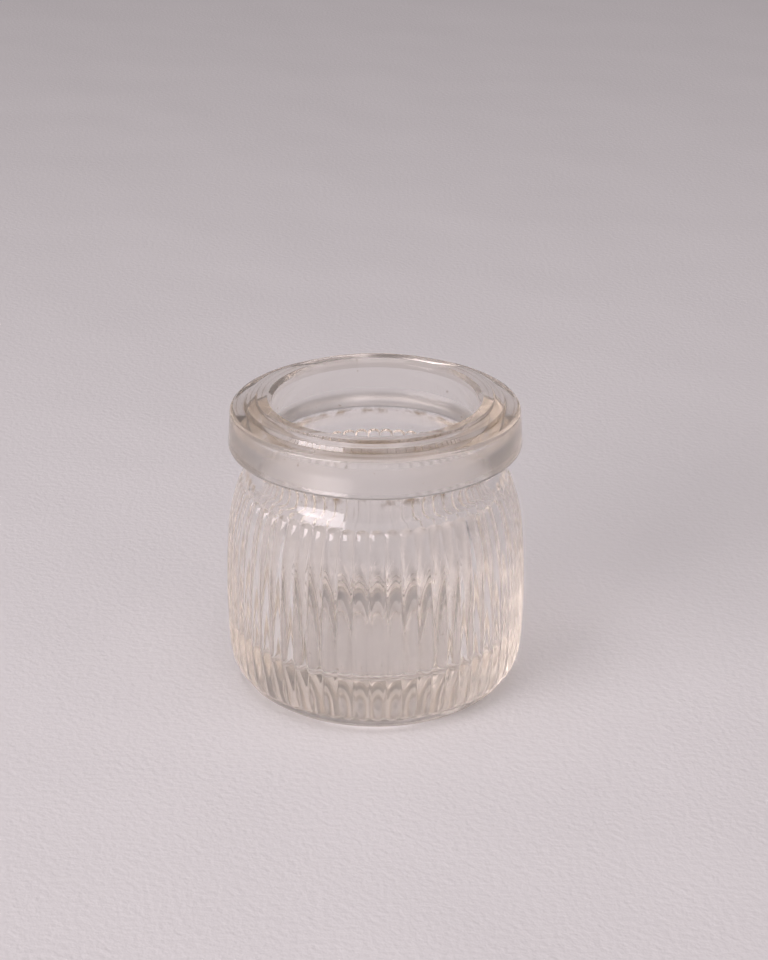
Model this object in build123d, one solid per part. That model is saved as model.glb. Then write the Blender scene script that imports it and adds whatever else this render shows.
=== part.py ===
from build123d import *
import os
from math import acos, asin, atan2, cos, degrees, hypot, radians, sin, tan

# Dappen dish: a small open pot pressed in one piece of thick clear glass.  A stepped rim band
# stands out over a narrow neck, and a plain shoulder rounds out to a belly covered with upright
# ribs.  The ribs stand in a shallow recess of the wall, their crests level with the shoulder.
# A heavy base stands on a bearing ring around a domed hollow.
# Millimetres, +Z up.  The origin is the centre of the circle that the dish stands on.
# Sections are drawn in the XZ plane as (radius, height) and turned about Z.

# ---- overall ----
HEIGHT = 50.0               # standing face to the crest of the rim
BELLY_R = 25.0              # over the crests of the ribs, the widest part of the dish
BELLY_Z = 15.5              # height of the widest circle

# ---- outer wall, level with the rib crests: three arcs, each tangent to the next ----
BELLY_ARC_R = 134.0
SHOULDER_ARC_R = 28.0
HEEL_ARC_R = 7.9
SHOULDER_START = 5.0        # degrees above level, where the belly becomes the shoulder
SHOULDER_END = 31.0         # degrees above level, where the shoulder runs straight to the neck
HEEL_START = 4.0            # degrees below level, where the belly becomes the heel

# ---- ribs and the recess that they stand in ----
RIB_COUNT = 60
RIB_TURN = 0.9              # degrees from the X axis to the middle of the first rib
RIB_ROUND = 1.7             # radius of a rib's round face
RIB_TOP_Z = 34.8            # end of a rib's full height, above it the rounded end
RIB_FOOT_Z = 3.1            # start of a rib's full height, below it the rounded end
RIB_STATIONS = 8            # spans of the curve that a rib follows
RECESS_DEPTH = 0.45
RECESS_TOP_Z = 35.5         # end of the full depth, above it the recess runs out
RECESS_FOOT_Z = 1.9
TOP_RUNOUT = 1.4            # height over which the recess runs out to the shoulder
FOOT_RUNOUT = 0.6

# ---- inside ----
WALL_THICKNESS = 2.9        # under the rib crests, at the shoulder
INNER_ARC_R = 90.0          # inside of the belly, drawing in towards the floor
BASE_THICKNESS = 8.5        # standing face to the inner floor
FLOOR_ROUND = 2.5           # corner between the inner wall and the floor

# ---- standing face ----
BEARING_WIDTH = 2.5         # flat ring that the dish stands on, to its sharp corners
BEARING_ROUND = 0.8
PUNT_DEPTH = 4.0            # height of the domed hollow inside the ring

# ---- neck and rim band ----
NECK_ROOT_Z = 40.9          # sharp corner of the neck groove before it is rounded
NECK_ROOT_ROUND = 0.7
RIM_FOOT = (24.2, 41.8)     # lower outer corner of the band
RIM_FOOT_ROUND = 0.7
RIM_HEAD = (23.75, 48.35)   # upper outer corner of the band
RIM_HEAD_ROUND = 0.8
LEDGE_ONE_END = (21.35, 48.5)   # outer ledge, where it meets the first riser
LEDGE_TWO_START = (21.08, 49.25)
LEDGE_TWO_END = (19.5, 49.45)   # middle ledge, where it meets the second riser
CREST_START = (19.38, HEIGHT)
CREST_END = (17.6, 49.85)
STEP_ROUND = 0.12
CREST_ROUND = 0.15

# ---- mouth ----
BORE_R = 16.9
BORE_HEAD_Z = 49.1          # sharp corner between the inner bevel and the bore
BORE_HEAD_ROUND = 0.4
BORE_FOOT_Z = 43.2          # sharp corner between the bore and the inside of the shoulder
BORE_FOOT_ROUND = 3.0


def along(start, distance, angle):
    """The point at a distance from a start point, in a direction in degrees above level."""
    return (start[0] + distance * cos(radians(angle)), start[1] + distance * sin(radians(angle)))


# ---- arc centres and the bearing ring, worked out from the above ----
BELLY_CENTRE = (BELLY_R - BELLY_ARC_R, BELLY_Z)
SHOULDER_CENTRE = along(BELLY_CENTRE, BELLY_ARC_R - SHOULDER_ARC_R, SHOULDER_START)
HEEL_CENTRE = along(BELLY_CENTRE, BELLY_ARC_R - HEEL_ARC_R, -HEEL_START)
HEEL_END = degrees(asin(HEEL_CENTRE[1] / HEEL_ARC_R))   # degrees below level, at the ground
BEARING_OUTER_R = along(HEEL_CENTRE, HEEL_ARC_R, -HEEL_END)[0]
BEARING_INNER_R = BEARING_OUTER_R - BEARING_WIDTH


def arc(centre, radius, start, end):
    """An arc from one direction to another, both in degrees above level."""
    return CenterArc(centre, radius, start, end - start)


def wall_arc(height):
    """Centre, radius and direction of the outer wall's arc at a height."""
    if height > along(BELLY_CENTRE, BELLY_ARC_R, SHOULDER_START)[1]:
        centre, radius = SHOULDER_CENTRE, SHOULDER_ARC_R
    elif height > along(BELLY_CENTRE, BELLY_ARC_R, -HEEL_START)[1]:
        centre, radius = BELLY_CENTRE, BELLY_ARC_R
    else:
        centre, radius = HEEL_CENTRE, HEEL_ARC_R
    return centre, radius, degrees(asin((height - centre[1]) / radius))


def below_wall(height, depth):
    """The point a depth under the outer wall, square to it, where the wall has a height."""
    centre, radius, angle = wall_arc(height)
    return along(centre, radius - depth, angle)


def outer_section():
    """Half section of the dish as a full solid, with the recess but no ribs and no inside."""
    heel_stop = wall_arc(RECESS_FOOT_Z - FOOT_RUNOUT)[2]
    heel_restart = wall_arc(RECESS_FOOT_Z)[2]
    shoulder_stop = wall_arc(RECESS_TOP_Z)[2]
    shoulder_restart = wall_arc(RECESS_TOP_Z + TOP_RUNOUT)[2]
    shoulder_end = along(SHOULDER_CENTRE, SHOULDER_ARC_R, SHOULDER_END)
    neck_rise = NECK_ROOT_Z - shoulder_end[1]
    neck_root = (shoulder_end[0] - neck_rise * tan(radians(SHOULDER_END)), NECK_ROOT_Z)
    rim = [shoulder_end, neck_root, RIM_FOOT, RIM_HEAD, LEDGE_ONE_END, LEDGE_TWO_START,
           LEDGE_TWO_END, CREST_START, CREST_END, (BORE_R, BORE_HEAD_Z)]
    rounds = [NECK_ROOT_ROUND, RIM_FOOT_ROUND, RIM_HEAD_ROUND, STEP_ROUND, STEP_ROUND,
              STEP_ROUND, CREST_ROUND, CREST_ROUND]
    punt_r = (BEARING_INNER_R ** 2 + PUNT_DEPTH ** 2) / (2 * PUNT_DEPTH)
    punt_edge = degrees(acos(BEARING_INNER_R / punt_r))
    corners = [(BEARING_INNER_R, 0), (BEARING_OUTER_R, 0)]
    with BuildSketch(Plane.XZ) as section:
        with BuildLine():
            arc((0, PUNT_DEPTH - punt_r), punt_r, 90, punt_edge)
            Line(*corners)
            arc(HEEL_CENTRE, HEEL_ARC_R, -HEEL_END, heel_stop)
            Line(below_wall(RECESS_FOOT_Z - FOOT_RUNOUT, 0), below_wall(RECESS_FOOT_Z, RECESS_DEPTH))
            arc(HEEL_CENTRE, HEEL_ARC_R - RECESS_DEPTH, heel_restart, -HEEL_START)
            arc(BELLY_CENTRE, BELLY_ARC_R - RECESS_DEPTH, -HEEL_START, SHOULDER_START)
            arc(SHOULDER_CENTRE, SHOULDER_ARC_R - RECESS_DEPTH, SHOULDER_START, shoulder_stop)
            Line(below_wall(RECESS_TOP_Z, RECESS_DEPTH), below_wall(RECESS_TOP_Z + TOP_RUNOUT, 0))
            arc(SHOULDER_CENTRE, SHOULDER_ARC_R, shoulder_restart, SHOULDER_END)
            FilletPolyline(*rim, radius=rounds)
            Polyline((BORE_R, BORE_HEAD_Z), (0, BORE_HEAD_Z), (0, PUNT_DEPTH))
        make_face()
        bearing = [section.vertices().sort_by_distance((*corner, 0))[0] for corner in corners]
        fillet(bearing, BEARING_ROUND)
    return section.sketch


def cavity_section():
    """Half section of the space inside, open at the top."""
    radius = SHOULDER_ARC_R - WALL_THICKNESS
    foot = (BORE_R, BORE_FOOT_Z)
    reach = (foot[0] - SHOULDER_CENTRE[0], foot[1] - SHOULDER_CENTRE[1])
    tangent_angle = degrees(atan2(reach[1], reach[0]) - acos(radius / hypot(*reach)))
    tangent_point = along(SHOULDER_CENTRE, radius, tangent_angle)
    inner_centre = along(SHOULDER_CENTRE, radius - INNER_ARC_R, 0)
    floor_angle = degrees(asin((BASE_THICKNESS - inner_centre[1]) / INNER_ARC_R))
    floor_edge = along(inner_centre, INNER_ARC_R, floor_angle)
    above = HEIGHT + 1
    bevel = (CREST_END[1] - BORE_HEAD_Z) / (CREST_END[0] - BORE_R)
    lip = (BORE_R + (above - BORE_HEAD_Z) / bevel, above)
    with BuildSketch(Plane.XZ) as section:
        with BuildLine():
            arc(inner_centre, INNER_ARC_R, floor_angle, 0)
            arc(SHOULDER_CENTRE, radius, 0, tangent_angle)
            FilletPolyline(tangent_point, foot, (BORE_R, BORE_HEAD_Z), lip,
                           radius=[BORE_FOOT_ROUND, BORE_HEAD_ROUND])
            Polyline(lip, (0, above), (0, BASE_THICKNESS), floor_edge)
        make_face()
        corner = section.vertices().sort_by_distance((*floor_edge, 0))[0]
        fillet(corner, FLOOR_ROUND)
    return section.sketch


def make_rib():
    """One rib, a round bar sunk in the wall with a ball at either end of its full height."""
    rise = (RIB_TOP_Z - RIB_FOOT_Z) / RIB_STATIONS
    heights = [RIB_FOOT_Z + rise * station for station in range(RIB_STATIONS + 1)]
    stations = [below_wall(height, RIB_ROUND) for height in heights]
    with BuildPart() as rib:
        with BuildLine(Plane.XZ) as path:
            Spline(*stations)
        with BuildSketch(path.line ^ 0):
            Circle(RIB_ROUND)
        sweep(path=path.line)
        for radius, height in (stations[0], stations[-1]):
            with Locations((radius, 0, height)):
                Sphere(RIB_ROUND)
    return rib.part


def make_dish():
    rib = make_rib()
    pitch = 360 / RIB_COUNT
    body = revolve(outer_section(), Axis.Z)
    ribs = [rib.rotate(Axis.Z, RIB_TURN + pitch * turn) for turn in range(RIB_COUNT)]
    return body + ribs - revolve(cavity_section(), Axis.Z)


def main():
    os.makedirs("parts", exist_ok=True)
    dish = make_dish()
    dish.label = "glass_dish"
    export_step(dish, "parts/glass_dish.step")
    box = dish.bounding_box()
    print("size", box.size, "volume", dish.volume, "valid", dish.is_valid)
    print("solids", len(dish.solids()), "faces", len(dish.faces()))


main()
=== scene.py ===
from math import acos, asin, atan2, cos, degrees, hypot, pi, radians, sin, sqrt, tan

import bpy
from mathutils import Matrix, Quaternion, Vector


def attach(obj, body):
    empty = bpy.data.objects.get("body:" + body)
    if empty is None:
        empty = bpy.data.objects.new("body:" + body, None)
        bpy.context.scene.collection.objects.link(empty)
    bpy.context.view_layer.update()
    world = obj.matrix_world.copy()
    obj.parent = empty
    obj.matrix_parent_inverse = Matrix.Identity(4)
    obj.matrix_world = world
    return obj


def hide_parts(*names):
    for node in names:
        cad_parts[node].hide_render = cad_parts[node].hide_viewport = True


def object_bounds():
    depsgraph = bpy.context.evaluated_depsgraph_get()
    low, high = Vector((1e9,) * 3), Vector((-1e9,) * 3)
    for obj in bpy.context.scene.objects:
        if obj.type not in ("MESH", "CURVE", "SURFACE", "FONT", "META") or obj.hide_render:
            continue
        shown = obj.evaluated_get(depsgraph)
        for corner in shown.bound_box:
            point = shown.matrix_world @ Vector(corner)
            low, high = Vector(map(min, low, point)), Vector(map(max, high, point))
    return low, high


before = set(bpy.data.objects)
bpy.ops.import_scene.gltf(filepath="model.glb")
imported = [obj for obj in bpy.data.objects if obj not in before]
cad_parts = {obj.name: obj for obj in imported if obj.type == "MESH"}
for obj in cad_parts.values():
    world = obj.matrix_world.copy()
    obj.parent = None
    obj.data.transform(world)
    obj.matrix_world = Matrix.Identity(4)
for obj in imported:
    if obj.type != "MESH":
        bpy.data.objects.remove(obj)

CAD_BOX = [list(corner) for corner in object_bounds()]

# A dappen dish: one piece of thick clear pressed glass on white paper.  Its mesh is turned here
# from the same section and ribs as the CAD solid.  Lengths are in millimetres until MM turns them
# into metres; sections are (radius, height) above the standing face; angles are in degrees.
MM = 0.001

# ---- the dish, as in the CAD ----
HEIGHT = (CAD_BOX[1][2] - CAD_BOX[0][2]) / MM
BELLY_R = 25.0              # over the crests of the ribs
BELLY_Z = 15.5
BELLY_ARC_R = 134.0
SHOULDER_ARC_R = 28.0
HEEL_ARC_R = 7.9
SHOULDER_START = 5.0
SHOULDER_END = 31.0
HEEL_START = 4.0
HEEL_FOOT = 0.9             # where the heel's mesh rows start, above the ring's corner

RIB_COUNT = 60
RIB_TURN = 0.9              # from the front to the middle of the nearest rib
RIB_ROUND = 1.7             # radius of a rib's round face
RIB_TOP_Z = 34.8            # end of a rib's full height, above it the rounded end
RIB_FOOT_Z = 3.1
RECESS_DEPTH = 0.45         # of the band that the ribs stand in
RECESS_TOP_Z = 35.5
RECESS_FOOT_Z = 1.9
TOP_RUNOUT = 1.4            # height over which the band runs out to the shoulder
FOOT_RUNOUT = 0.6

WALL_THICKNESS = 2.9        # under the crests of the ribs, at the shoulder
INNER_ARC_R = 90.0
BASE_THICKNESS = 8.5
FLOOR_ROUND = 2.5
BEARING_WIDTH = 2.5
BEARING_ROUND = 0.8
PUNT_DEPTH = 4.0            # height of the domed hollow under the base

NECK_ROOT_Z = 40.9
NECK_ROOT_ROUND = 0.7
RIM_FOOT = (24.2, 41.8)
RIM_FOOT_ROUND = 0.7
RIM_HEAD = (23.75, 48.35)
RIM_HEAD_ROUND = 0.8
LEDGE_ONE_END = (21.35, 48.5)
LEDGE_TWO_START = (21.08, 49.25)
LEDGE_TWO_END = (19.5, 49.45)
CREST_START = (19.38, HEIGHT)
CREST_END = (17.6, 49.85)
STEP_ROUND = 0.12
CREST_ROUND = 0.15
BORE_R = 16.9
BORE_HEAD_Z = 49.1
BORE_HEAD_ROUND = 0.4
BORE_FOOT_Z = 43.2
BORE_FOOT_ROUND = 3.0

# ---- mesh fineness ----
RIB_COLUMNS = (-1, -0.95, -0.84, -0.66, -0.36, 0, 0.36, 0.66, 0.84, 0.95)    # across one rib
WALL_ROW = 0.8              # height of a mesh row on the ribbed wall
END_ROW = 0.12              # height of a mesh row over a rib's rounded end
INSIDE_ROW = 1.0            # length of a mesh row on the plain arcs
CORNER_STEP = 14.0          # turn of one mesh row of a rounded corner

# ---- glass ----
GLASS_INDEX = 1.5
GLASS_TINT = (0.975, 0.74, 0.375, 1)
GLASS_DENSITY = 5.0
CLEAN_COLOUR = (0.975, 0.967, 0.96, 1)
WAVE_HEIGHT = 0.012         # waviness of pressed glass

# ---- wear, residue and painted shade on the glass ----
BAND_ROUGHNESS = 0.13       # worn outer face of the rim band
THROAT_ROUGHNESS = 0.3
INSIDE_ROUGHNESS = 0.05
UNDER_ROUGHNESS = 0.1
BAND_WEAR_DEPTH = 0.8       # from the band's outer face inwards
BAND_WEAR_DROP = 0.5        # from the band's foot downwards
THROAT_WEAR_RISE = 1.5      # from the foot of the straight mouth upwards
THROAT_WEAR_DEPTH = 1.6     # from the mouth outwards
INSIDE_WEAR_RISE = 1.0      # from the top of the domed hollow to where the inside may begin
UNDER_WEAR_RISE = 0.1       # from the top of the domed hollow upwards
LEDGE_ONE_SHADE = 0.5       # reach of the painted shade to both sides of the ledge's inner end
# painted shade: tan rings on the rim's steps, where the thick rim looks darker through its glass
LEDGE_TWO_SHADE = 0.4
RIM_SHADE_LINES = (22.7, 20.4, 18.5)      # radii of the finer rings of painted shade on the rim
RIM_SHADE_LINE_REACH = 0.15
RIM_SHADE_FILM = 0.4              # share of the painted shade that lies between the lines
GROOVE_DROP = 1.1           # from the neck's root down to the middle of its stain
GROOVE_STAIN = 1.0
GROOVE_START = 2.0          # from the mouth outwards
GROOVE_END = 1.0            # from the band's outer face inwards
SPECK_STRENGTH = 0.6
# tan of the residue under the rim and of the specks, also used for the painted shade on the rim's steps
RESIDUE_AND_SHADE_COLOUR = (0.30, 0.21, 0.12, 1)

# ---- paper ----
PAPER_GREY = 0.82
PAPER_ROUGHNESS = 0.75
PAPER_REACH = 3000.0        # from the dish to the paper's edges
PAPER_GAP = 0.05            # keeps the paper and the standing face from sharing a plane
GRAIN_HEIGHT = 0.15
FOLD_HEIGHT = 1.0

# ---- studio: azimuth 0 is towards the viewer and turns to the right ----
LIGHT_COLOUR = (1.0, 0.905, 0.935)
SIDE_FALL = 0.4             # share by which the room dims to the right and gains to the left
WALL_STRENGTH = 0.285
CEILING_STRENGTH = 0.50
CEILING_EDGE = 48           # elevation where the brighter ceiling starts
CEILING_FULL = 72
FAR_WALL_COLOUR = (0.82, 0.75, 0.77)
FAR_WALL_AZIMUTH = 180      # middle of the dimmer stretch of wall behind the dish
FAR_WALL_ELEVATION = 8
FAR_WALL_INNER = 18         # from its middle to where it starts to brighten
FAR_WALL_OUTER = 30

# ---- camera, in metres ----
CAMERA_PITCH = 23.56
CAMERA_DISTANCE = 0.3758    # to the middle of the rim
CAMERA_LENS = 86.25
CAMERA_SENSOR = 36
RIM_MIDDLE = (0, 0, 0.0485)
RIM_RIGHT_OF_AXIS = -0.00378    # slope of the ray to the rim's middle from the view's axis
RIM_ABOVE_AXIS = 0.03343


def along(start, distance, angle):
    """The point at a distance from a start point, in a direction in degrees above level."""
    return (start[0] + distance * cos(radians(angle)), start[1] + distance * sin(radians(angle)))


BELLY_CENTRE = (BELLY_R - BELLY_ARC_R, BELLY_Z)
SHOULDER_CENTRE = along(BELLY_CENTRE, BELLY_ARC_R - SHOULDER_ARC_R, SHOULDER_START)
HEEL_CENTRE = along(BELLY_CENTRE, BELLY_ARC_R - HEEL_ARC_R, -HEEL_START)
HEEL_END = degrees(asin(HEEL_CENTRE[1] / HEEL_ARC_R))
BEARING_OUTER_R = along(HEEL_CENTRE, HEEL_ARC_R, -HEEL_END)[0]
BEARING_INNER_R = BEARING_OUTER_R - BEARING_WIDTH


# ---------------------------------------------------------------- section
def wall_radius(height):
    """Radius of the outer wall at the rib crests, from the heel to the end of the shoulder."""
    if height > along(BELLY_CENTRE, BELLY_ARC_R, SHOULDER_START)[1]:
        centre, radius = SHOULDER_CENTRE, SHOULDER_ARC_R
    elif height > along(BELLY_CENTRE, BELLY_ARC_R, -HEEL_START)[1]:
        centre, radius = BELLY_CENTRE, BELLY_ARC_R
    else:
        centre, radius = HEEL_CENTRE, HEEL_ARC_R
    return centre[0] + sqrt(radius ** 2 - (height - centre[1]) ** 2)


def wall_depth(across, height):
    """How far the surface lies under the rib crests; across is -1 to 1 over a rib's share."""
    above = (height - RECESS_TOP_Z) / TOP_RUNOUT
    below = (RECESS_FOOT_Z - height) / FOOT_RUNOUT
    recess = RECESS_DEPTH * (1 - min(1, max(above, below, 0)))
    sideways = across * pi * wall_radius(height) / RIB_COUNT
    past = max(height - RIB_TOP_Z, RIB_FOOT_Z - height, 0)
    inside = RIB_ROUND ** 2 - sideways ** 2 - past ** 2
    return min(recess, RIB_ROUND - sqrt(inside)) if inside > 0 else recess


def rounded(points, rounds):
    """A path through points, with each inner corner rounded to its radius."""
    path = [points[0]]
    for before, corner, after, radius in zip(points, points[1:], points[2:], rounds):
        inward = Vector(before) - Vector(corner)
        outward = Vector(after) - Vector(corner)
        half = inward.angle(outward) / 2
        reach = radius / tan(half)
        turned = pi - 2 * half
        bisector = (inward.normalized() + outward.normalized()).normalized()
        middle = Vector(corner) + bisector * (radius / sin(half))
        start = Vector(corner) + inward.normalized() * reach - middle
        end = Vector(corner) + outward.normalized() * reach - middle
        steps = max(2, round(turned / radians(CORNER_STEP)))
        for step in range(steps + 1):
            angle = turned * step / steps
            spoke = (start * sin(turned - angle) + end * sin(angle)) / sin(turned)
            path.append(tuple(middle + spoke))
    path.append(points[-1])
    return path


def arc(centre, radius, start, end):
    """Points along an arc, from one direction to another in degrees."""
    count = max(2, round(abs(radians(end - start)) * radius / INSIDE_ROW))
    return [along(centre, radius, start + (end - start) * i / count) for i in range(count + 1)]


def upper_path():
    """From the end of the shoulder up over the rim, down the mouth and inside to the floor."""
    shoulder_end = along(SHOULDER_CENTRE, SHOULDER_ARC_R, SHOULDER_END)
    neck_rise = NECK_ROOT_Z - shoulder_end[1]
    neck_root = (shoulder_end[0] - neck_rise * tan(radians(SHOULDER_END)), NECK_ROOT_Z)
    radius = SHOULDER_ARC_R - WALL_THICKNESS
    foot = (BORE_R, BORE_FOOT_Z)
    reach = (foot[0] - SHOULDER_CENTRE[0], foot[1] - SHOULDER_CENTRE[1])
    tangent = degrees(atan2(reach[1], reach[0]) - acos(radius / hypot(*reach)))
    corners = [shoulder_end, neck_root, RIM_FOOT, RIM_HEAD, LEDGE_ONE_END, LEDGE_TWO_START,
               LEDGE_TWO_END, CREST_START, CREST_END, (BORE_R, BORE_HEAD_Z), foot,
               along(SHOULDER_CENTRE, radius, tangent)]
    rounds = [NECK_ROOT_ROUND, RIM_FOOT_ROUND, RIM_HEAD_ROUND, STEP_ROUND, STEP_ROUND,
              STEP_ROUND, CREST_ROUND, CREST_ROUND, BORE_HEAD_ROUND, BORE_FOOT_ROUND]
    belly = along(SHOULDER_CENTRE, radius - INNER_ARC_R, 0)
    floor_angle = degrees(asin((BASE_THICKNESS + FLOOR_ROUND - belly[1]) / INNER_ARC_R))
    path = rounded(corners, rounds)
    path += arc(SHOULDER_CENTRE, radius, tangent, 0)[1:]
    path += arc(belly, INNER_ARC_R, 0, floor_angle)[1:]
    edge = path[-1]
    floor = [edge, (edge[0], BASE_THICKNESS), (0, BASE_THICKNESS)]
    return path[:-1] + rounded(floor, [FLOOR_ROUND])[1:-1]


def base_path():
    """From the middle of the domed hollow out over the bearing ring to the heel."""
    dome_r = (BEARING_INNER_R ** 2 + PUNT_DEPTH ** 2) / (2 * PUNT_DEPTH)
    edge = degrees(acos(BEARING_INNER_R / dome_r))
    dome = arc((0, PUNT_DEPTH - dome_r), dome_r, 90, edge)
    corners = [dome[-2], dome[-1], (BEARING_OUTER_R, 0),
               along(HEEL_CENTRE, HEEL_ARC_R, HEEL_FOOT - HEEL_END)]
    return dome[:-2] + rounded(corners, [BEARING_ROUND, BEARING_ROUND])


def ribbed_heights():
    """Heights of the mesh rows on the ribbed wall, closer together over the ribs' ends."""
    low = along(HEEL_CENTRE, HEEL_ARC_R, HEEL_FOOT - HEEL_END)[1]
    top = along(SHOULDER_CENTRE, SHOULDER_ARC_R, SHOULDER_END)[1]
    ends = ((RECESS_FOOT_Z - FOOT_RUNOUT, RIB_FOOT_Z), (RIB_TOP_Z, RECESS_TOP_Z + TOP_RUNOUT))
    marks = [low, *ends[0], *ends[1], top]
    heights = [low]
    for start, stop in zip(marks, marks[1:]):
        row = END_ROW if (start, stop) in ends else WALL_ROW
        count = max(1, round((stop - start) / row))
        heights += [start + (stop - start) * i / count for i in range(1, count + 1)]
    return heights


# ---------------------------------------------------------------- mesh
def add_ring(verts, radii, height, turns):
    """Adds one ring of points, with radii repeated around it, and returns their numbers."""
    first = len(verts)
    for i, turn in enumerate(turns):
        radius = radii[i % len(radii)]
        verts.append((radius * sin(turn) * MM, -radius * cos(turn) * MM, height * MM))
    return list(range(first, first + len(turns)))


def fan(coarse, fine):
    """Triangles between a coarse ring and a finer one, facing out when the fine one is lower."""
    share = len(fine) // len(coarse)
    faces = []
    for i, corner in enumerate(coarse):
        after = coarse[(i + 1) % len(coarse)]
        edge = [fine[(i * share + k) % len(fine)] for k in range(share + 1)]
        middle = share // 2
        for k in range(share):
            faces.append((corner if k < middle else after, edge[k], edge[k + 1]))
        faces.append((corner, edge[middle], after))
    return faces


def band(lower, upper):
    """Faces between two rings, one of which may be finer."""
    if len(lower) > len(upper):
        return fan(upper, lower)
    if len(lower) < len(upper):
        return [face[::-1] for face in fan(lower, upper)]
    following = lower[1:] + lower[:1], upper[1:] + upper[:1]
    return list(zip(lower, following[0], following[1], upper))


def make_dish():
    """One closed mesh, with finer rings of points where the ribs are."""
    pitch = 2 * pi / RIB_COUNT
    ribbed = [radians(RIB_TURN) + pitch * (rib + across / 2)
              for rib in range(RIB_COUNT) for across in RIB_COLUMNS]
    plain = ribbed[::2]
    verts, rings = [], []
    for radius, height in base_path()[1:-1]:
        rings.append(add_ring(verts, [radius], height, plain))
    for height in ribbed_heights():
        radii = [wall_radius(height) - wall_depth(across, height) for across in RIB_COLUMNS]
        rings.append(add_ring(verts, radii, height, ribbed))
    for radius, height in upper_path()[1:]:
        rings.append(add_ring(verts, [radius], height, plain))
    faces = [face for lower, upper in zip(rings, rings[1:]) for face in band(lower, upper)]
    under_middle, floor_middle = len(verts), len(verts) + 1
    verts += [(0, 0, PUNT_DEPTH * MM), (0, 0, BASE_THICKNESS * MM)]
    for i in range(len(plain)):
        j = (i + 1) % len(plain)
        faces.append((under_middle, rings[0][j], rings[0][i]))
        faces.append((floor_middle, rings[-1][i], rings[-1][j]))
    mesh = bpy.data.meshes.new("glass_dish_clear")
    mesh.from_pydata(verts, [], faces)
    mesh.shade_smooth()
    mesh.materials.append(glass_material())
    dish = bpy.data.objects.new("glass_dish_clear", mesh)
    bpy.context.collection.objects.link(dish)
    return dish


# ---------------------------------------------------------------- materials
def calculate(tree, operation, *values):
    """A Math node; each value is a number or another node's output."""
    node = tree.nodes.new("ShaderNodeMath")
    node.operation = operation
    for socket, value in zip(node.inputs, values):
        if isinstance(value, (int, float)):
            socket.default_value = value
        else:
            tree.links.new(value, socket)
    return node.outputs[0]


def length(tree, along_one, along_two):
    """Length of the diagonal of two values."""
    squares = [calculate(tree, "MULTIPLY", value, value) for value in (along_one, along_two)]
    return calculate(tree, "SQRT", calculate(tree, "ADD", *squares))


def near(tree, value, middle, reach):
    """1 where a value is at the middle, falling to 0 at a reach from it."""
    away = calculate(tree, "ABSOLUTE", calculate(tree, "SUBTRACT", value, middle))
    share = calculate(tree, "DIVIDE", away, reach)
    return calculate(tree, "MAXIMUM", calculate(tree, "SUBTRACT", 1.0, share), 0.0)


def between(tree, value, low, high):
    """1 between two limits and 0 elsewhere."""
    return calculate(tree, "MULTIPLY", calculate(tree, "GREATER_THAN", value, low),
                     calculate(tree, "LESS_THAN", value, high))


def noise(tree, scale, detail, low=0.0, high=1.0):
    """Noise stretched so that the low and high levels become 0 and 1."""
    where = tree.nodes.new("ShaderNodeTexCoord")
    pattern = tree.nodes.new("ShaderNodeTexNoise")
    pattern.inputs["Scale"].default_value = scale
    pattern.inputs["Detail"].default_value = detail
    tree.links.new(where.outputs["Object"], pattern.inputs["Vector"])
    stretch = tree.nodes.new("ShaderNodeMapRange")
    stretch.inputs["From Min"].default_value = low
    stretch.inputs["From Max"].default_value = high
    tree.links.new(pattern.outputs[0], stretch.inputs["Value"])
    return stretch.outputs["Result"]


def wear(tree, radius, height):
    """Roughness by place: the band's outer face, the inside, the throat and the underside."""
    band_foot = RIM_FOOT[1] - BAND_WEAR_DROP
    band_face = calculate(tree, "MULTIPLY", between(tree, height, band_foot, RIM_HEAD[1]),
                          calculate(tree, "GREATER_THAN", radius, RIM_HEAD[0] - BAND_WEAR_DEPTH))
    over = calculate(tree, "SUBTRACT", height, SHOULDER_CENTRE[1])
    from_centre = length(tree, calculate(tree, "SUBTRACT", radius, SHOULDER_CENTRE[0]),
                         calculate(tree, "MAXIMUM", over, 0.0))
    middle_of_wall = SHOULDER_ARC_R - WALL_THICKNESS / 2
    inside_foot = PUNT_DEPTH + INSIDE_WEAR_RISE
    inside = calculate(tree, "MULTIPLY", between(tree, height, inside_foot, NECK_ROOT_Z),
                       calculate(tree, "LESS_THAN", from_centre, middle_of_wall))
    throat_top = BORE_FOOT_Z + THROAT_WEAR_RISE
    throat = calculate(tree, "MULTIPLY", between(tree, height, NECK_ROOT_Z, throat_top),
                       calculate(tree, "LESS_THAN", radius, BORE_R + THROAT_WEAR_DEPTH))
    under_top = PUNT_DEPTH + UNDER_WEAR_RISE
    under = calculate(tree, "MULTIPLY", calculate(tree, "LESS_THAN", height, under_top),
                      calculate(tree, "LESS_THAN", radius, BEARING_OUTER_R))
    roughness = calculate(tree, "MULTIPLY", band_face, BAND_ROUGHNESS)
    levels = ((inside, INSIDE_ROUGHNESS), (throat, THROAT_ROUGHNESS), (under, UNDER_ROUGHNESS))
    for place, level in levels:
        roughness = calculate(tree, "MAXIMUM", roughness, calculate(tree, "MULTIPLY", place, level))
    return roughness


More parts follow.
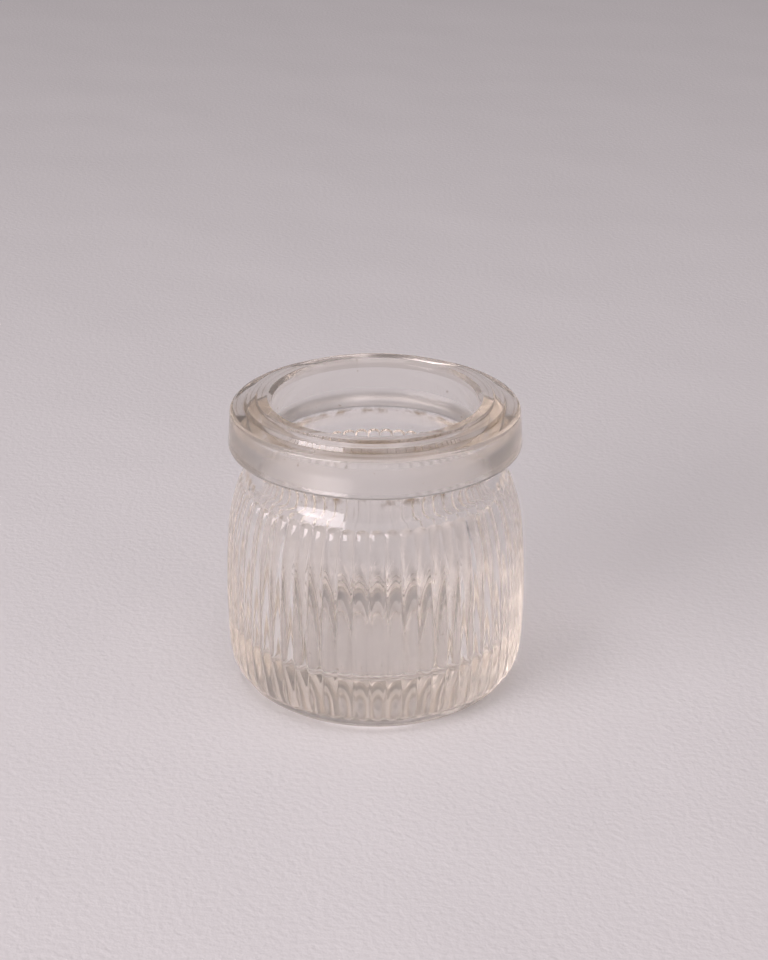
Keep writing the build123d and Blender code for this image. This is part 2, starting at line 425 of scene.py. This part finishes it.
def residue_and_shade(tree, radius, height):
    """Painted shade in tan rings at the feet of the rim's steps, with a thinner film of it between
    them; residue under the rim, and a few specks.
    """
    # painted shade: the rim's top is tinted tan where its thick glass looks darker at the steps
    rim = calculate(tree, "MAXIMUM", near(tree, radius, LEDGE_ONE_END[0], LEDGE_ONE_SHADE),
                    near(tree, radius, LEDGE_TWO_END[0], LEDGE_TWO_SHADE))
    for line in RIM_SHADE_LINES:
        rim = calculate(tree, "MAXIMUM", rim, near(tree, radius, line, RIM_SHADE_LINE_REACH))
    rim = calculate(tree, "MULTIPLY_ADD", rim, 1 - RIM_SHADE_FILM, RIM_SHADE_FILM)
    rim = calculate(tree, "MULTIPLY", rim, calculate(tree, "GREATER_THAN", height, RIM_HEAD[1]))
    rim = calculate(tree, "MULTIPLY", rim, noise(tree, scale=90.0, detail=3.0, low=0.1, high=0.6))
    groove = calculate(tree, "MULTIPLY", near(tree, height, NECK_ROOT_Z - GROOVE_DROP, GROOVE_STAIN),
                       between(tree, radius, BORE_R + GROOVE_START, RIM_HEAD[0] - GROOVE_END))
    grains = noise(tree, scale=420.0, detail=4.0, low=0.45, high=0.6)
    groove = calculate(tree, "MULTIPLY", groove, grains)
    specks = calculate(tree, "MULTIPLY", noise(tree, scale=700.0, detail=2.0, low=0.72, high=0.76),
                       SPECK_STRENGTH)
    return calculate(tree, "MAXIMUM", calculate(tree, "MAXIMUM", rim, groove), specks)


def glass_material():
    """Clear glass, straw coloured in depth, slightly worn, stained, tinted with painted shade on the
    rim, and wavy.
    """
    material = bpy.data.materials.new("clear_glass")
    material.use_nodes = True
    tree = material.node_tree
    nodes, links = tree.nodes, tree.links
    glass = nodes["Principled BSDF"]
    glass.inputs["IOR"].default_value = GLASS_INDEX
    glass.inputs["Transmission Weight"].default_value = 1.0
    where = nodes.new("ShaderNodeTexCoord")
    split = nodes.new("ShaderNodeSeparateXYZ")
    links.new(where.outputs["Object"], split.inputs[0])
    x, y, height = [calculate(tree, "DIVIDE", output, MM) for output in split.outputs]
    radius = length(tree, x, y)
    links.new(wear(tree, radius, height), glass.inputs["Roughness"])

    # the base colour carries the residue, the specks and the painted shade on the rim
    colour = nodes.new("ShaderNodeMix")
    colour.data_type = "RGBA"
    colour.inputs["A"].default_value = CLEAN_COLOUR
    colour.inputs["B"].default_value = RESIDUE_AND_SHADE_COLOUR
    links.new(residue_and_shade(tree, radius, height), colour.inputs["Factor"])
    links.new(colour.outputs["Result"], glass.inputs["Base Color"])

    wave = nodes.new("ShaderNodeBump")
    wave.inputs["Strength"].default_value = 1.0
    wave.inputs["Distance"].default_value = WAVE_HEIGHT * MM
    links.new(noise(tree, scale=70.0, detail=2.0), wave.inputs["Height"])
    links.new(wave.outputs[0], glass.inputs["Normal"])

    tint = nodes.new("ShaderNodeVolumeAbsorption")
    tint.inputs["Color"].default_value = GLASS_TINT
    tint.inputs["Density"].default_value = GLASS_DENSITY
    links.new(tint.outputs[0], nodes["Material Output"].inputs["Volume"])
    return material


def paper_material():
    """White paper, finely grained and not quite flat."""
    material = bpy.data.materials.new("white_paper")
    material.use_nodes = True
    tree = material.node_tree
    paper = tree.nodes["Principled BSDF"]
    paper.inputs["Base Color"].default_value = (PAPER_GREY, PAPER_GREY, PAPER_GREY, 1)
    paper.inputs["Roughness"].default_value = PAPER_ROUGHNESS
    grain = noise(tree, scale=900.0, detail=2.0)
    folds = calculate(tree, "MULTIPLY", noise(tree, scale=22.0, detail=1.0), FOLD_HEIGHT / GRAIN_HEIGHT)
    bump = tree.nodes.new("ShaderNodeBump")
    bump.inputs["Strength"].default_value = 1.0
    bump.inputs["Distance"].default_value = GRAIN_HEIGHT * MM
    tree.links.new(calculate(tree, "ADD", grain, folds), bump.inputs["Height"])
    tree.links.new(bump.outputs[0], paper.inputs["Normal"])
    return material


# ---------------------------------------------------------------- studio
def make_paper():
    reach, level = PAPER_REACH * MM, -PAPER_GAP * MM
    corners = ((-reach, -reach), (reach, -reach), (reach, reach), (-reach, reach))
    mesh = bpy.data.meshes.new("floor")
    mesh.from_pydata([(x, y, level) for x, y in corners], [], [(0, 1, 2, 3)])
    mesh.materials.append(paper_material())
    floor = bpy.data.objects.new("floor", mesh)
    bpy.context.collection.objects.link(floor)


def direction(azimuth, elevation):
    """Unit vector from the dish; azimuth 0 is towards the viewer and turns to the right."""
    turn, rise = radians(azimuth), radians(elevation)
    return Vector((sin(turn) * cos(rise), -cos(turn) * cos(rise), sin(rise)))


def softbox(name, azimuth, elevation, distance, width, height, power, roll=0):
    """A lamp that faces the dish, in metres and watts; roll is anticlockwise seen from behind."""
    lamp = bpy.data.lights.new(name, "AREA")
    lamp.shape = "RECTANGLE"
    lamp.size = width
    lamp.size_y = height
    lamp.energy = power
    lamp.color = LIGHT_COLOUR
    obj = bpy.data.objects.new(name, lamp)
    away = direction(azimuth, elevation)
    obj.location = Vector((0, 0, HEIGHT * MM / 2)) + away * distance
    turn = away.to_track_quat("Z", "Y") @ Quaternion((0, 0, 1), radians(roll))
    obj.rotation_euler = turn.to_euler()
    bpy.context.collection.objects.link(obj)


def make_room():
    """Soft even walls, dimmer to the right and behind the dish, under a brighter ceiling."""
    world = bpy.data.worlds.new("studio")
    bpy.context.scene.world = world
    world.use_nodes = True
    tree = world.node_tree
    nodes, links = tree.nodes, tree.links
    background = nodes["Background"]
    where = nodes.new("ShaderNodeTexCoord")
    split = nodes.new("ShaderNodeSeparateXYZ")
    links.new(where.outputs["Generated"], split.inputs[0])

    rise = nodes.new("ShaderNodeMapRange")
    rise.interpolation_type = "SMOOTHSTEP"
    rise.inputs["From Min"].default_value = sin(radians(CEILING_EDGE))
    rise.inputs["From Max"].default_value = sin(radians(CEILING_FULL))
    rise.inputs["To Min"].default_value = WALL_STRENGTH
    rise.inputs["To Max"].default_value = CEILING_STRENGTH
    links.new(split.outputs["Z"], rise.inputs["Value"])
    side = calculate(tree, "MULTIPLY_ADD", split.outputs["X"], -SIDE_FALL, 1.0)
    strength = calculate(tree, "MULTIPLY", rise.outputs["Result"], side)
    links.new(strength, background.inputs["Strength"])

    towards = nodes.new("ShaderNodeVectorMath")
    towards.operation = "DOT_PRODUCT"
    towards.inputs[1].default_value = direction(FAR_WALL_AZIMUTH, FAR_WALL_ELEVATION)
    links.new(where.outputs["Generated"], towards.inputs[0])
    edge = nodes.new("ShaderNodeMapRange")
    edge.interpolation_type = "SMOOTHSTEP"
    edge.inputs["From Min"].default_value = cos(radians(FAR_WALL_OUTER))
    edge.inputs["From Max"].default_value = cos(radians(FAR_WALL_INNER))
    links.new(towards.outputs["Value"], edge.inputs["Value"])
    walls = nodes.new("ShaderNodeMix")
    walls.data_type = "RGBA"
    walls.inputs["A"].default_value = (*LIGHT_COLOUR, 1)
    walls.inputs["B"].default_value = (*FAR_WALL_COLOUR, 1)
    links.new(edge.outputs["Result"], walls.inputs["Factor"])
    links.new(walls.outputs["Result"], background.inputs["Color"])


def make_camera():
    """Looks down on the dish from the front."""
    pitch = radians(CAMERA_PITCH)
    forward = Vector((0, cos(pitch), -sin(pitch)))
    up = Vector((0, sin(pitch), cos(pitch)))
    right = Vector((1, 0, 0))
    ray = (right * RIM_RIGHT_OF_AXIS + up * RIM_ABOVE_AXIS + forward).normalized()
    data = bpy.data.cameras.new("camera")
    data.lens = CAMERA_LENS
    data.sensor_width = CAMERA_SENSOR
    data.clip_start = 0.01
    camera = bpy.data.objects.new("camera", data)
    camera.location = Vector(RIM_MIDDLE) - ray * CAMERA_DISTANCE
    camera.rotation_euler = (-forward).to_track_quat("Z", "Y").to_euler()
    bpy.context.collection.objects.link(camera)
    bpy.context.scene.camera = camera


def set_light_paths():
    """Plain colours, enough bounces for thick glass, and the light that it casts kept sharp."""
    scene = bpy.context.scene
    scene.view_settings.view_transform = "Standard"
    scene.cycles.max_bounces = 32
    scene.cycles.transmission_bounces = 32
    scene.cycles.glossy_bounces = 16
    scene.cycles.use_denoising = True
    scene.cycles.caustics_refractive = True
    scene.cycles.caustics_reflective = True
    scene.cycles.blur_glossy = 0.0
    scene.cycles.sample_clamp_indirect = 10.0


make_camera()
make_paper()
softbox("softbox_left", azimuth=-48, elevation=19.3, distance=1.2, width=0.87, height=0.385,
        power=8.6, roll=12)
softbox("softbox_right", azimuth=45, elevation=50, distance=1.2, width=1.33, height=0.42, power=1.7)
softbox("softbox_top", azimuth=-10, elevation=78, distance=0.5, width=0.32, height=0.32, power=0.5)
make_room()
dish = make_dish()
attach(dish, "root")
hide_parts("glass_dish")
set_light_paths()
